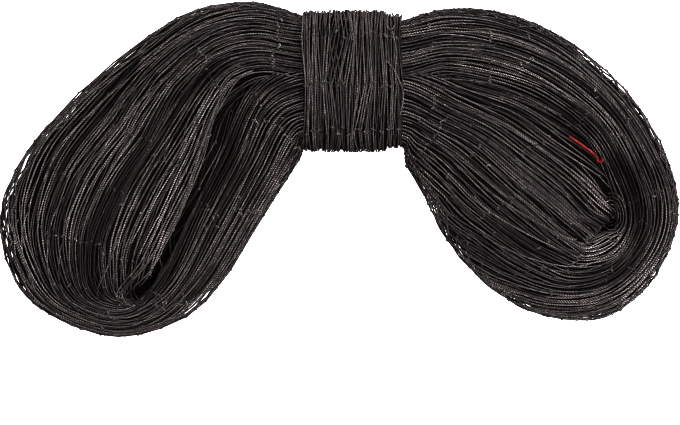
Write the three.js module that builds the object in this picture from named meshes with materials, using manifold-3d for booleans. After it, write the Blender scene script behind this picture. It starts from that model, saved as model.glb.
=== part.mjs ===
// Hank of knotted safety netting, lying flat: the gathered net runs out to the left and to the right
// in two long loops, and the net's own end is wound round the middle to hold them.
// Millimetres, +Z up. X runs along the hank, Y across it, and the hank rests on Z = 0.

import * as THREE from 'three';
import { mergeVertices } from 'three/addons/utils/BufferGeometryUtils.js';
import Module from 'manifold-3d';

const wasm = await Module();
wasm.setup();

// Driving dimensions
const TWINE = 1.3; // thickness of the net's twine
const GAP = 0.3; // clearance between pieces
const WRAP = {
  left: -24.5, // where the turns start along X
  right: 41, // where they end
  centreY: 58,
  centreZ: 29,
  neckHalfY: 41, // the squeezed net inside the turns
  neckHalfZ: 24,
  squareness: 2.5, // exponent of the rounded section
};
// Thickness of the wound net across the wrap, at shares of its width from left to right
const WRAP_PROFILE = [
  { share: 0, thickness: 3.2 },
  { share: 0.03, thickness: 4.6 },
  { share: 0.12, thickness: 4.9 },
  { share: 0.17, thickness: 4.2 },
  { share: 0.24, thickness: 5 },
  { share: 0.33, thickness: 5.1 },
  { share: 0.38, thickness: 4.4 },
  { share: 0.45, thickness: 5.2 },
  { share: 0.55, thickness: 5.2 },
  { share: 0.61, thickness: 4.5 },
  { share: 0.68, thickness: 5.1 },
  { share: 0.78, thickness: 5 },
  { share: 0.83, thickness: 4.4 },
  { share: 0.86, thickness: 2.6 },
  { share: 0.96, thickness: 2.5 },
  { share: 1, thickness: 1.8 },
];
const BELLY = 0.55; // half height of a bundle as a share of its crown, so that its underside lies flat
const AROUND = 48; // facets round a bundle

// Sections across the gathered net, from the wrap out along the far limb, round the end and back.
// rim is on the outline, eye is on the fold that the loop turns round, crown is the top of the bundle
// above the surface, and roll is how far the bundle has turned about its own length, in degrees.
const LEFT_LOOP = sections([
  { rimX: 6, rimY: 97, eyeX: 6, eyeY: 55, crown: 52, roll: 0 },
  { rimX: -25, rimY: 102, eyeX: -25, eyeY: 54, crown: 54, roll: 0 },
  { rimX: -58, rimY: 110.5, eyeX: -51, eyeY: 55, crown: 55, roll: 0 },
  { rimX: -97, rimY: 105, eyeX: -69, eyeY: 44, crown: 54, roll: 0 },
  { rimX: -133, rimY: 84, eyeX: -79, eyeY: 28, crown: 53, roll: 0 },
  { rimX: -177, rimY: 47, eyeX: -88, eyeY: -4, crown: 50, roll: 0 },
  { rimX: -211, rimY: 5, eyeX: -101, eyeY: -39, crown: 47, roll: 4 },
  { rimX: -224, rimY: -40, eyeX: -119, eyeY: -69, crown: 44, roll: 14 },
  { rimX: -205, rimY: -85, eyeX: -135, eyeY: -83, crown: 40, roll: 34 },
  { rimX: -155, rimY: -110, eyeX: -137, eyeY: -87, crown: 38, roll: 60 },
  { rimX: -108, rimY: -102, eyeX: -134, eyeY: -85, crown: 40, roll: 80 },
  { rimX: -77, rimY: -76, eyeX: -125, eyeY: -69, crown: 43, roll: 90 },
  { rimX: -54, rimY: -38, eyeX: -110, eyeY: -31, crown: 46, roll: 90 },
  { rimX: -37, rimY: -7, eyeX: -93, eyeY: 15, crown: 49, roll: 90 },
  { rimX: -26, rimY: 10, eyeX: -66, eyeY: 59, crown: 52, roll: 90 },
  { rimX: -22, rimY: 14, eyeX: -25, eyeY: 61, crown: 53, roll: 90 },
  { rimX: 6, rimY: 19, eyeX: 6, eyeY: 61, crown: 52, roll: 90 },
]);
const RIGHT_LOOP = sections([
  { rimX: 10, rimY: 96, eyeX: 10, eyeY: 51, crown: 52, roll: 0 },
  { rimX: 42, rimY: 99, eyeX: 42, eyeY: 51, crown: 53, roll: 0 },
  { rimX: 72, rimY: 106, eyeX: 71, eyeY: 56, crown: 54, roll: 0 },
  { rimX: 110, rimY: 103, eyeX: 104, eyeY: 51, crown: 54, roll: 0 },
  { rimX: 150, rimY: 86, eyeX: 137, eyeY: 36, crown: 52, roll: 0 },
  { rimX: 190, rimY: 52, eyeX: 164, eyeY: 14, crown: 50, roll: 0 },
  { rimX: 217, rimY: 9, eyeX: 178, eyeY: -16, crown: 47, roll: 0 },
  { rimX: 225, rimY: -32, eyeX: 183, eyeY: -35, crown: 44, roll: 0 },
  { rimX: 209, rimY: -72, eyeX: 181, eyeY: -44, crown: 41, roll: 0 },
  { rimX: 178, rimY: -97, eyeX: 177, eyeY: -46, crown: 40, roll: -6 },
  { rimX: 136, rimY: -96, eyeX: 175, eyeY: -41, crown: 42, roll: -24 },
  { rimX: 100, rimY: -75, eyeX: 184, eyeY: -23, crown: 45, roll: -50 },
  { rimX: 74, rimY: -44, eyeX: 169, eyeY: 15, crown: 48, roll: -75 },
  { rimX: 57, rimY: -13, eyeX: 134, eyeY: 47, crown: 50, roll: -86 },
  { rimX: 46, rimY: 6, eyeX: 90, eyeY: 63, crown: 52, roll: -90 },
  { rimX: 41, rimY: 14, eyeX: 42, eyeY: 59, crown: 53, roll: -90 },
  { rimX: 10, rimY: 19, eyeX: 10, eyeY: 58, crown: 52, roll: -90 },
]);

// Troughs between the main locks of twine: at is the place round the bundle in degrees, 0 on the rim and
// 90 on top, width is in degrees, depth is a share of the bundle's radius, and from and to are shares of
// the loop's length.
const LEFT_TROUGHS = [
  { at: 44, width: 9, depth: 0.1, from: 0.1, to: 0.5 },
  { at: 74, width: 9, depth: 0.14, from: 0.04, to: 0.3 },
  { at: 98, width: 10, depth: 0.24, from: 0.12, to: 0.56 },
  { at: 124, width: 10, depth: 0.22, from: 0.04, to: 0.36 },
  { at: 146, width: 9, depth: 0.14, from: 0.26, to: 0.56 },
  { at: 350, width: 10, depth: 0.16, from: 0.6, to: 0.95 },
  { at: 20, width: 10, depth: 0.12, from: 0.56, to: 0.9 },
];
const RIGHT_TROUGHS = [
  { at: 34, width: 9, depth: 0.1, from: 0.12, to: 0.6 },
  { at: 58, width: 9, depth: 0.16, from: 0.05, to: 0.4 },
  { at: 80, width: 10, depth: 0.2, from: 0.04, to: 0.36 },
  { at: 108, width: 11, depth: 0.2, from: 0.26, to: 0.62 },
  { at: 150, width: 10, depth: 0.12, from: 0.6, to: 0.95 },
  { at: 178, width: 10, depth: 0.16, from: 0.64, to: 0.97 },
  { at: 206, width: 10, depth: 0.12, from: 0.66, to: 0.95 },
];

// Folds at the far ends of the loops, pressed shut by the innermost turns
const EYE_FOLDS = [
  { x: -133, y: -81, radius: 9, height: 30 },
  { x: 179, y: -36, radius: 12, height: 32 },
];

// Red marking thread on the right loop: along and around are the places of its points on the bundle.
const THREAD_PLACES = [
  { along: 0.772, around: 142 },
  { along: 0.763, around: 144 },
  { along: 0.754, around: 146 },
  { along: 0.745, around: 148 },
  { along: 0.736, around: 149 },
];

const NET_BLACK = new THREE.MeshStandardMaterial({ color: 0x1b1a1b, roughness: 0.5, metalness: 0 });
const WRAP_BLACK = new THREE.MeshStandardMaterial({ color: 0x1f1e1f, roughness: 0.5, metalness: 0 });
const THREAD_RED = new THREE.MeshStandardMaterial({ color: 0xb3292c, roughness: 0.55, metalness: 0 });

// Smooth curves through the rows of a loop's table.
function sections(rows) {
  const through = (points) => new THREE.CatmullRomCurve3(points, false, 'catmullrom', 0.5);
  return {
    rim: through(rows.map((row) => new THREE.Vector3(row.rimX, row.rimY, row.crown))),
    eye: through(rows.map((row) => new THREE.Vector3(row.eyeX, row.eyeY, row.roll))),
  };
}

// Radius of a bundle at a place on it, as a share of its full section, with the troughs pressed in.
function lockShare(troughs, along, around, roll) {
  let share = 1;
  for (const trough of troughs) {
    const turned = THREE.MathUtils.euclideanModulo(around - roll - trough.at + 180, 360) - 180;
    const middle = (trough.from + trough.to) / 2;
    const half = (trough.to - trough.from) / 2;
    const fade = 1 - THREE.MathUtils.smoothstep(Math.abs(along - middle), 0.6 * half, half);
    share -= trough.depth * fade * Math.exp(-((turned / trough.width) ** 2));
  }
  return share;
}

// A point of a loop: along runs from 0 to 1 round the loop, around is in degrees, and reach is 1 on the
// bundle's surface and 0 in its middle.
function loopPoint(loop, troughs, along, around, reach) {
  const rim = loop.rim.getPoint(along);
  const eye = loop.eye.getPoint(along);
  const crown = rim.z;
  const roll = eye.z;
  const angle = THREE.MathUtils.degToRad(around);
  const out = reach * lockShare(troughs, along, around, roll);
  const across = 0.5 + 0.5 * out * Math.cos(angle);
  const halfHeight = BELLY * crown;
  const z = crown - halfHeight + halfHeight * out * Math.sin(angle);
  return new THREE.Vector3(
    THREE.MathUtils.lerp(eye.x, rim.x, across),
    THREE.MathUtils.lerp(eye.y, rim.y, across),
    z,
  );
}

// A closed solid from a geometry, with its shared points merged and its faces turned outwards.
function solidOf(geometry) {
  const bare = geometry.clone();
  bare.deleteAttribute('normal');
  bare.deleteAttribute('uv');
  const merged = mergeVertices(bare, 1e-4);
  const make = (triVerts) =>
    new wasm.Manifold(
      new wasm.Mesh({ numProp: 3, vertProperties: merged.attributes.position.array, triVerts }),
    );
  const triVerts = new Uint32Array(merged.index.array);
  const solid = make(triVerts);
  return solid.volume() > 0 ? solid : make(triVerts.reverse());
}

function geometryOf(solid) {
  const mesh = solid.getMesh();
  const geometry = new THREE.BufferGeometry();
  geometry.setAttribute('position', new THREE.BufferAttribute(mesh.vertProperties, 3));
  geometry.setIndex(new THREE.BufferAttribute(mesh.triVerts, 1));
  geometry.computeVertexNormals();
  return geometry;
}

// One limb of a loop: a closed cylinder whose points are moved onto the bundle's surface.
function limbSolid(loop, troughs, from, to, steps) {
  const geometry = new THREE.CylinderGeometry(1, 1, 1, AROUND, steps);
  const places = geometry.attributes.position;
  for (let i = 0; i < places.count; i += 1) {
    const along = THREE.MathUtils.lerp(from, to, 0.5 - places.getY(i));
    const around = THREE.MathUtils.radToDeg(Math.atan2(places.getZ(i), places.getX(i)));
    const reach = Math.hypot(places.getX(i), places.getZ(i));
    const point = loopPoint(loop, troughs, along, around, reach);
    places.setXYZ(i, point.x, point.y, point.z);
  }
  return solidOf(geometry);
}

function eyeFold({ x, y, radius, height }) {
  const fold = new THREE.SphereGeometry(1, 20, 12);
  fold.scale(radius, radius, height / 2);
  fold.translate(x, y, height / 2);
  return solidOf(fold);
}

// A point of the rounded section that the wrap presses the net into, moved out by offset.
function neckPoint(angle, offset) {
  const power = 2 / WRAP.squareness;
  const soften = (value) => Math.sign(value) * Math.abs(value) ** power;
  return {
    y: WRAP.centreY + (WRAP.neckHalfY + offset) * soften(Math.cos(angle)),
    z: WRAP.centreZ + (WRAP.neckHalfZ + offset) * soften(Math.sin(angle)),
  };
}

// The neck inside the wrap, with a domed end on each side where the net fans out again.
function neckSolid(dome) {
  const steps = 20;
  const geometry = new THREE.CylinderGeometry(1, 1, 1, 40, steps);
  const places = geometry.attributes.position;
  for (let i = 0; i < places.count; i += 1) {
    const along = 0.5 + places.getY(i);
    const x = THREE.MathUtils.lerp(WRAP.left - dome, WRAP.right + dome, along);
    const past = Math.max(WRAP.left - x, x - WRAP.right, 0) / dome;
    const reach = Math.hypot(places.getX(i), places.getZ(i)) * Math.sqrt(1 - 0.99 * past ** 2);
    const point = neckPoint(Math.atan2(places.getZ(i), places.getX(i)), 0);
    places.setXYZ(
      i,
      x,
      THREE.MathUtils.lerp(WRAP.centreY, point.y, reach),
      THREE.MathUtils.lerp(WRAP.centreZ, point.z, reach),
    );
  }
  return solidOf(geometry);
}

function boxSolid(min, max) {
  const size = max.clone().sub(min);
  const box = new THREE.BoxGeometry(size.x, size.y, size.z);
  const middle = min.clone().add(max).multiplyScalar(0.5);
  box.translate(middle.x, middle.y, middle.z);
  return solidOf(box);
}

// Both loops and the neck between them, as one piece: the loops lie flat on the surface and leave
// room for the wrap, and the neck runs through it.
function hankGeometry() {
  const reach = 300;
  const underside = boxSolid(new THREE.Vector3(-reach, -reach, -reach), new THREE.Vector3(reach, reach, 0));
  const wrapRoom = boxSolid(
    new THREE.Vector3(WRAP.left - GAP, -reach, -reach),
    new THREE.Vector3(WRAP.right + GAP, reach, reach),
  );
  const loops = [
    limbSolid(LEFT_LOOP, LEFT_TROUGHS, 0, 0.6, 30),
    limbSolid(LEFT_LOOP, LEFT_TROUGHS, 0.6, 1, 20),
    limbSolid(RIGHT_LOOP, RIGHT_TROUGHS, 0, 0.57, 30),
    limbSolid(RIGHT_LOOP, RIGHT_TROUGHS, 0.57, 1, 22),
    ...EYE_FOLDS.map(eyeFold),
  ].reduce((joined, limb) => joined.add(limb));
  const dome = 36;
  return geometryOf(loops.subtract(wrapRoom).subtract(underside).add(neckSolid(dome)));
}

// Turns of the net's end round the neck.
function wrapGeometry() {
  const profile = [
    ...WRAP_PROFILE.map((row) => ({ share: row.share, offset: GAP + row.thickness })),
    { share: 1, offset: GAP },
    { share: 0.5, offset: GAP },
    { share: 0, offset: GAP },
  ];
  const turns = 56;
  const geometry = new THREE.TorusGeometry(2, 1, profile.length, turns);
  const places = geometry.attributes.position;
  const columns = turns + 1;
  for (let i = 0; i < places.count; i += 1) {
    const row = profile[Math.floor(i / columns) % profile.length];
    const angle = ((i % columns) / turns) * 2 * Math.PI;
    const point = neckPoint(angle, row.offset);
    const x = THREE.MathUtils.lerp(WRAP.left, WRAP.right, row.share);
    places.setXYZ(i, x, point.y, Math.max(point.z, 0));
  }
  return geometryOf(solidOf(geometry));
}

// The marking thread lies on the right loop, a little above its surface, and ends in a small knot.
function threadGeometry() {
  const step = 0.004;
  const lift = TWINE / 2 + GAP;
  const line = THREAD_PLACES.map(({ along, around }) => {
    const here = loopPoint(RIGHT_LOOP, RIGHT_TROUGHS, along, around, 1);
    const ahead = loopPoint(RIGHT_LOOP, RIGHT_TROUGHS, along + step, around, 1);
    const beside = loopPoint(RIGHT_LOOP, RIGHT_TROUGHS, along, around + 1, 1);
    const normal = ahead.sub(here).cross(beside.sub(here)).normalize();
    return here.addScaledVector(normal, normal.z > 0 ? lift : -lift);
  });
  const section = new THREE.Shape();
  section.absarc(0, 0, TWINE / 2, 0, 2 * Math.PI);
  const path = new THREE.CatmullRomCurve3(line);
  const tube = new THREE.ExtrudeGeometry(section, { extrudePath: path, steps: 14, curveSegments: 4 });
  const knot = new THREE.SphereGeometry(TWINE, 10, 6);
  const end = line[line.length - 1];
  knot.translate(end.x, end.y, end.z + TWINE / 2);
  return geometryOf(solidOf(tube).add(solidOf(knot)));
}

function piece(name, geometry, material) {
  const mesh = new THREE.Mesh(geometry, material);
  mesh.name = name;
  return mesh;
}

const hank = new THREE.Group();
hank.add(piece('net_hank', hankGeometry(), NET_BLACK));
hank.add(piece('waist_wrap', wrapGeometry(), WRAP_BLACK));
hank.add(piece('marker_thread', threadGeometry(), THREAD_RED));

export default hank;
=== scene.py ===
import math

import bpy
import numpy as np
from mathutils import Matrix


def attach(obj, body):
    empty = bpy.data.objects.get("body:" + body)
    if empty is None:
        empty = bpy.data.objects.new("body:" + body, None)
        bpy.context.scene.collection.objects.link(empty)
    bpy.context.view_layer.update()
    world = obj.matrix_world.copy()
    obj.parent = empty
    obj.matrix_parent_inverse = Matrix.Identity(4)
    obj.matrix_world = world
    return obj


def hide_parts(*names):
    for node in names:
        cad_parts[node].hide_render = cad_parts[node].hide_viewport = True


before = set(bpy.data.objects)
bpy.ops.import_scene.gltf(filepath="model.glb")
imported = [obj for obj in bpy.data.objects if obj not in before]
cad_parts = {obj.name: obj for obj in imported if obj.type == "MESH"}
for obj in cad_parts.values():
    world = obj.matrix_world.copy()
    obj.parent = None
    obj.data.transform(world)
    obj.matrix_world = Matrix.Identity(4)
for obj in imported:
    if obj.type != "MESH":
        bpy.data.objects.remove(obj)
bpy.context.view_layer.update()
mm = 0.001
print("frame loaded:", ", ".join(sorted(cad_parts)))

# The net: every strand and knot below uses these
twineRadius = 0.53 * mm
net = {
    "meshBar": 30 * mm,  # twine between two knots
    "layPitch": 3.5 * mm,  # one turn of the twisted twine
    "layShift": 7.618,  # turns of lay from one strand to the next
    "layWrap": 40,  # turns after which that starts again
    "strandRoom": 2.8 * mm,  # room for one strand side by side with others
    "sink": 4 * mm,  # how far a strand goes under where there is no room
    "sunkWidth": 0.25,  # share of its room that a strand still takes then
    "steepThin": 0.4,  # how much sparser strands are on steep sides
    "belly": 0.55,  # half height of a bundle as a share of its crown
    "troughFade": 0.6,  # share of a trough's half length after which it fades out
    "openReach": 42,  # degrees over which a bundle draws back from an open rim
    "coreClear": 1.2 * mm,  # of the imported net, above the floor
}

# The wrapped waist: a rounded box section, its exponent is squareness
waist = {
    "left": -24.5 * mm,
    "right": 41 * mm,
    "centreY": 58 * mm,
    "centreZ": 29 * mm,
    "halfY": 41 * mm,
    "halfZ": 24 * mm,
    "squareness": 3,
    "edgeRoom": 2.4 * mm,  # how far the loops stand out at the wrap's edges
    "flare": 4,
    "tuck": 0.6,
    "leastRoom": -1 * mm,
    "softCorner": 1 * mm,
}

leftLoop = {
    "name": "left",
    "seed": 11,
    # rim x, rim y, eye x, eye y, crown in millimetres, roll in degrees: one row for each section
    "sections": [
        (6, 97, 6, 55, 52, 0),
        (-25, 102, -25, 54, 54, 0),
        (-58, 110.5, -51, 55, 55, 0),
        (-97, 105, -66, 46, 54, 0),
        (-133, 84, -72, 28, 53, 0),
        (-177, 47, -76, -4, 50, 0),
        (-213, 5, -89, -37, 47, 4),
        (-227, -40, -112, -67, 44, 14),
        (-208, -87, -135, -83, 40, 34),
        (-156, -111.5, -137, -87, 38, 60),
        (-109, -102, -134, -85, 40, 80),
        (-79, -75, -122, -71, 43, 90),
        (-55, -37, -104, -33, 46, 90),
        (-36.5, -8, -83, 11, 49, 90),
        (-25.5, 9, -62, 56, 52, 90),
        (-22, 14, -27, 74, 53, 90),
        (6, 19, 6, 68, 52, 90),
    ],
    # at and width in degrees round the bundle, depth as a share of its radius, from and to along the loop,
    # and how much it goes along with the roll
    "troughs": [
        (44, 9, 0.07, 0.1, 0.5, 1),
        (74, 9, 0.12, 0.04, 0.3, 1),
        (94, 10, 0.24, 0.12, 0.56, 0),
        (124, 9, 0.1, 0.04, 0.22, 1),
        (146, 9, 0.2, 0.2, 0.56, 1),
        (350, 10, 0.16, 0.6, 0.95, 1),
        (20, 10, 0.12, 0.56, 0.9, 1),
    ],
    # degrees round the bundle where its locks part, at a share of the loop's length
    "partings": [
        (20, 0.75), (44, 0.3), (74, 0.2), (98, 0.35), (124, 0.2), (146, 0.4),
        (172, 0.4), (204, 0.4), (240, 0.4), (276, 0.6), (312, 0.7), (350, 0.78),
    ],
    # the fold that fills the loop's eye: x, y, radius, height in millimetres
    "fold": (-133, -81, 14, 24),
    # where the net opens out along the rim: place along the loop, half length, how far the net stands out
    # and the bundle draws back, or fills out below zero, in millimetres
    "openRim": [
        (0.305, 0.025, 1.1, 1.1),
        (0.385, 0.015, 0.6, 0.5),
        (0.435, 0.03, 0.4, 0.4),
        (0.66, 0.022, 1.5, 6.5),
        (0.714, 0.01, 1, 2.5),
    ],
    "rimBar": 10 * mm,  # from knot to knot there
    # strands that turn round the eye: x, y, least and most radius in millimetres, and how many
    "eyeArcs": (-133, -81, 5, 8, 2),
    "eyeFrom": 130,  # where they start, in degrees, and which way they turn
    "eyeTurn": 1,
    # painted highlights where the strands catch the light: half width of a line, its strength, and x and y of
    # its corners
    "shine": [
        (5, 0.4, -66, 64, -76, 54, -86, 43),
        (7, 0.5, -86, 43, -95, 22, -104, 0, -111, -21, -119, -42, -124, -62),
        (5, 0.4, -111, 14, -112, 6),
        (4, 0.25, -112, 0, -116, -10, -127, -32, -133, -53),
        (4, 0.2, -82, 75, -105, 64, -126, 43, -139, 22, -151, 0, -163, -21, -168, -32),
        (4, 0.2, -136, -21, -142, -42, -147, -64, -149, -74),
        (6, 0.35, -150, 62, -158, 54, -176, 32),
        (7, 0.3, -204, -14, -208, -30, -208, -58),
        (7, 0.45, -42, 42, -32, 43),
        (5, 0.2, -174, 27, -190, 14, -200, -9),
        (5, 0.15, -172, -37, -184, -58),
        (6, 0.25, -52, 4, -46, -8),
        (6, 0.35, -78, 78, -68, 83),
        (6, 0.25, -50, 91, -34, 86, -28, 99),
        (5, 0.25, -55, 70, -32, 70),
    ],
    # painted shade where the net lies deep and dim, in the same way
    "dim": [
        (7, 0.75, -78, 66, -88, 57, -100, 53, -114, 43, -126, 22, -144, -10),
        (7, 0.75, -144, -10, -154, -21, -164, -42),
        (6, 0.75, -164, -42, -168, -64, -166, -74, -159, -85),
        (5, 0.75, -36, 55, -56, 55, -66, 54, -72, 43, -77, 32),
        (8, 0.8, -76, 32, -71, 11, -72, 0, -80, -10),
        (6, 0.75, -80, -10, -90, -21, -101, -42, -112, -64, -120, -74, -130, -84, -140, -77),
        (8, 0.5, -61, -38, -66, -48, -71, -58),
        (6, 0.4, -193, -70, -188, -84, -170, -98, -145, -105, -130, -107),
        (5, 0.5, -150, -92, -140, -89),
        (6, 0.3, -84, -66, -77, -80),
        (6, 0.5, -62, 14, -61, 6),
        (5, 0.25, -158, 10, -162, 0),
        (5, 0.55, -125, 62, -112, 73, -92, 86, -80, 91),
        (5, 0.3, -112, 90, -100, 101),
        (6, 0.3, -146, 52, -158, 34, -169, 18, -183, 0, -190, -32),
        (6, 0.5, -134, -66, -128, -57),
        (6, 0.35, -92, -37, -98, -51),
    ],
}

rightLoop = {
    "name": "right",
    "seed": 23,
    "sections": [
        (10, 96, 10, 51, 52, 0),
        (42, 99, 42, 51, 53, 0),
        (72, 106, 71, 56, 54, 0),
        (110, 103, 104, 51, 54, 0),
        (150, 86, 137, 36, 52, 0),
        (190, 52, 164, 14, 50, 0),
        (217, 9, 178, -16, 47, 0),
        (225.5, -32, 183, -35, 44, 0),
        (210, -72, 181, -41, 41, 0),
        (178, -98.5, 177, -41, 40, -6),
        (135, -97.5, 174, -38, 42, -24),
        (98, -77, 189, -21, 45, -50),
        (71.5, -46, 175, 17, 48, -75),
        (55, -15, 134, 47, 50, -86),
        (44.5, 4, 89, 61, 52, -90),
        (41, 14, 44, 73, 53, -90),
        (10, 19, 10, 66, 52, -90),
    ],
    "troughs": [
        (34, 9, 0.1, 0.12, 0.6, 1),
        (58, 9, 0.16, 0.05, 0.4, 1),
        (80, 10, 0.2, 0.04, 0.36, 1),
        (114, 12, 0.24, 0.25, 0.6, 1),
        (150, 10, 0.12, 0.6, 0.95, 1),
        (178, 10, 0.16, 0.64, 0.97, 1),
        (206, 10, 0.12, 0.66, 0.95, 1),
    ],
    "partings": [
        (8, 0.3), (34, 0.35), (58, 0.25), (80, 0.2), (114, 0.45), (132, 0.5),
        (150, 0.78), (178, 0.8), (206, 0.8), (240, 0.8), (284, 0.6), (328, 0.4),
    ],
    "fold": (179.5, -36, 16, 23),
    "openRim": [
        (0.286, 0.04, 1.4, 3.7),
        (0.367, 0.012, 1, 1),
        (0.5, 0.02, 1, 0.8),
        (0.73, 0.05, 0, -1.2),
        (0.79, 0.01, 0.8, 1.8),
        (0.87, 0.04, 0, -0.6),
    ],
    "rimBar": 5.5 * mm,
    "eyeArcs": (180, -31, 4, 12, 5),
    "eyeFrom": 100,
    "eyeTurn": -1,
    "shine": [
        (5, 0.5, 80, 69, 90, 67, 100, 64, 110, 64, 118, 63),
        (5, 0.12, 50, 88, 80, 89, 100, 87),
        (6, 0.4, 130, 24, 140, 20, 150, 14, 160, 0),
        (6, 1, 162, -4, 168, -9, 171, -21, 173, -27),
        (7, 1.2, 168, -52, 174, -48, 180, -46, 184, -48),
        (6, 0.35, 57, 2, 62, -18, 68, -32),
        (5, 0.5, 150, -88, 170, -91, 180, -89, 190, -82, 200, -74, 210, -62),
        (8, 0.2, 85, -60, 97, -70, 110, -78),
        (5, 0.15, 170, 36, 180, 20, 190, 16, 200, 10),
        (7, 0.15, 64, 15, 70, -8, 78, -23, 96, -40),
    ],
    "dim": [
        (4, 0.5, 75, 61, 90, 58, 100, 54, 110, 52),
        (4, 0.3, 118, 49, 140, 46, 150, 40),
        (6, 0.5, 184, -14, 186, -28),
        (8, 0.75, 152, 36, 160, 32, 164, 26),
        (4, 0.4, 50, 44, 70, 33, 80, 28, 110, 22, 120, 16, 130, 6),
        (4, 0.4, 130, 6, 140, -3, 150, -12, 160, -20),
        (9, 0.85, 181, 3, 190, -2, 194, -12, 196, -26, 198, -38),
        (7, 0.8, 198, -38, 197, -54, 190, -67, 180, -71, 168, -71, 160, -76),
        (5, 0.75, 171, -36, 182, -36),
        (6, 0.5, 112, 92, 130, 87, 148, 83, 164, 74),
        (8, 0.45, 118, -25, 130, -34, 140, -43),
        (6, 0.3, 120, -62, 140, -69),
        (7, 0.3, 190, 44, 205, 22, 210, -18),
        (7, 0.45, 138, 76, 150, 71, 162, 69, 172, 60, 176, 51),
        (6, 0.3, 96, 35, 108, 28),
        (8, 0.45, 136, 0, 134, -12, 140, -24),
        (4, 0.35, 48, 78, 90, 80, 130, 79),
    ],
}


def smoothStep(low, high, value):
    share = np.clip((value - low) / (high - low), 0, 1)
    return share * share * (3 - 2 * share)


# An amount that comes in from a low to a high value
def graded(change, value):
    amount, low, high = change
    return amount * smoothStep(low, high, value)


# Chance values from low up to low + more
def chance(rng, spread, shape):
    low, more = spread
    return low + more * rng.random(shape)


# Bell curve: 1 in the middle, and 1/e a width away from it
def bell(value, width):
    return np.exp(-((value / width) ** 2))


# Catmull-Rom curve through a table's rows, at shares of its length
def throughRows(rows, along):
    rows = np.asarray(rows, float)
    padded = np.vstack([2 * rows[0] - rows[1], rows, 2 * rows[-1] - rows[-2]])
    place = np.clip(along, 0, 1) * (len(rows) - 1)
    first = np.minimum(place.astype(int), len(rows) - 2)
    u = (place - first)[..., None]
    before, start, end, after = (padded[first + k] for k in range(4))
    leave = 0.5 * (end - before)
    arrive = 0.5 * (after - start)
    curve = (2 * u**3 - 3 * u**2 + 1) * start + (3 * u**2 - 2 * u**3) * end
    return curve + (u**3 - 2 * u**2 + u) * leave + (u**3 - u**2) * arrive


# Radius of a bundle as a share of its full section: each trough presses in a bell-shaped groove
def lockShare(loop, along, around, roll):
    share = np.ones(np.broadcast(along, around).shape)
    for at, width, depth, start, stop, follow in loop["troughs"]:
        turned = (around - follow * roll - at + 180) % 360 - 180
        half = (stop - start) / 2
        fade = 1 - smoothStep(net["troughFade"] * half, half, np.abs(along - (start + stop) / 2))
        share = share - depth * fade * bell(turned, width)
    return share


# Point of a bundle: an ellipse between the eye and the rim, stood on its crown, at the angle around it
def onBundle(loop, along, around, reach):
    rows = throughRows(loop["sections"], along)
    rim, eye = rows[..., 0:2] * mm, rows[..., 2:4] * mm
    crown, roll = rows[..., 4] * mm, rows[..., 5]
    angle = np.radians(around)
    out = reach * lockShare(loop, along, around, roll)
    across = (0.5 + 0.5 * out * np.cos(angle))[..., None]
    height = crown * (1 - net["belly"]) + crown * net["belly"] * out * np.sin(angle)
    flat = eye + across * (rim - eye)
    return np.concatenate([flat, height[..., None]], axis=-1)


# Half width and half height of a bundle's sections
def sectionHalves(loop, along):
    rows = throughRows(loop["sections"], along)
    halfWidth = 0.5 * np.linalg.norm(rows[..., 0:2] - rows[..., 2:4], axis=-1) * mm
    return halfWidth, net["belly"] * rows[..., 4] * mm


# How flat a section is: the difference of its half width and half height over their sum
def flatness(loop, along):
    halfWidth, halfHeight = sectionHalves(loop, along)
    return (halfWidth - halfHeight) / (halfWidth + halfHeight)


# How far an angle's even place lies from it, m being the flatness: -m/2 sin(2 theta) for even steps along
# the edge, and k (1 - cos(half) - 2 half / pi) for sparser sides, half being theta within its half turn
def evenShift(m, theta):
    half = theta % np.pi
    return net["steepThin"] * (1 - np.cos(half) - 2 * half / np.pi) - 0.5 * m * np.sin(2 * theta)


# The angle of an even place: theta = even - shift(theta), by steps
def evenAngle(loop, along, even):
    m = flatness(loop, along)
    theta = np.radians(even)
    for _ in range(10):
        theta = np.radians(even) - evenShift(m, theta)
    return np.degrees(theta)


# Height of a bundle's upper side at places seen from above: its highest point within a circle, or a height
# beside the bundle. Along and around are from, to and steps.
overlook = {"along": (0.1, 0.95, 800), "around": (5, 180, 240), "circle": 1 * mm, "beside": 24 * mm}


def topOf(loop, places):
    along, around = np.meshgrid(np.linspace(*overlook["along"]), np.linspace(*overlook["around"]))
    grid = onBundle(loop, along, around, np.ones(along.shape)).reshape(-1, 3)
    heights = []
    for place in places:
        near = np.hypot(grid[:, 0] - place[0], grid[:, 1] - place[1]) < overlook["circle"]
        heights.append(grid[near, 2].max(initial=overlook["beside"]))
    return np.array(heights)


# Sum of slow sine waves for each strand: drift says how much the phase moves from one to the next, and each
# strand's rate is its own within a tenth
def waves(rng, count, along, rates, drift):
    total = np.zeros((count, len(along)))
    for rate in rates:
        phase = rng.random() + np.cumsum(rng.normal(0, drift, count))
        speed = rate * chance(rng, (0.9, 0.2), count)
        total += np.sin(2 * np.pi * (speed[:, None] * along[None, :] + phase[:, None]))
    return total / len(rates)


# How far points lie beside the wrap, along the waist
def besideWrap(points):
    return np.maximum(waist["left"] - points[..., 0], points[..., 0] - waist["right"])


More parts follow.
